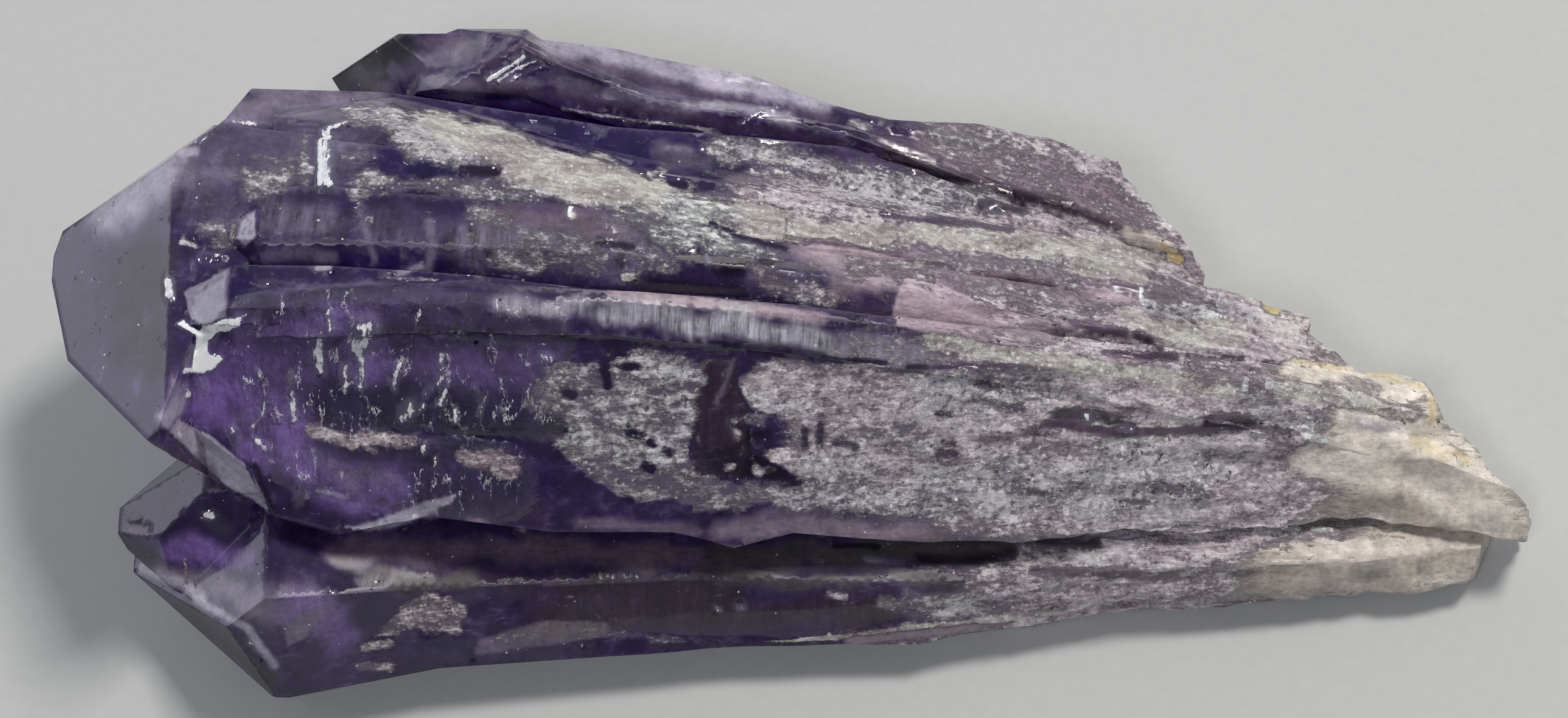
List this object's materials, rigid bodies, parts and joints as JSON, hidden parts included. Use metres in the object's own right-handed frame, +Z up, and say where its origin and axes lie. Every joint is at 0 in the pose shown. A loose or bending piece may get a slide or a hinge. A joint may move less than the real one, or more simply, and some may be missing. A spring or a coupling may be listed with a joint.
{
  "type": "raw amethyst crystal",
  "caption": "Raw amethyst crystal: a fan of flat-faced quartz crystals grown together, dark violet at the tips and milky towards a broken tan root, lying on one flat prism face.",
  "frame": {"origin": "middle of the bounding box, at the bottom, on the surface it rests on", "axes": "+X from the crystal tips towards the broken root, +Y to the back, away from the picture's view, +Z up"},
  "size_m": [0.1532, 0.0714, 0.0395],
  "materials": {
    "amethyst": "glossy, translucent, with rough milky growth steps"
  },
  "bodies": {
    "root": {"amethyst_crystal": "amethyst"}
  },
  "joints": []
}
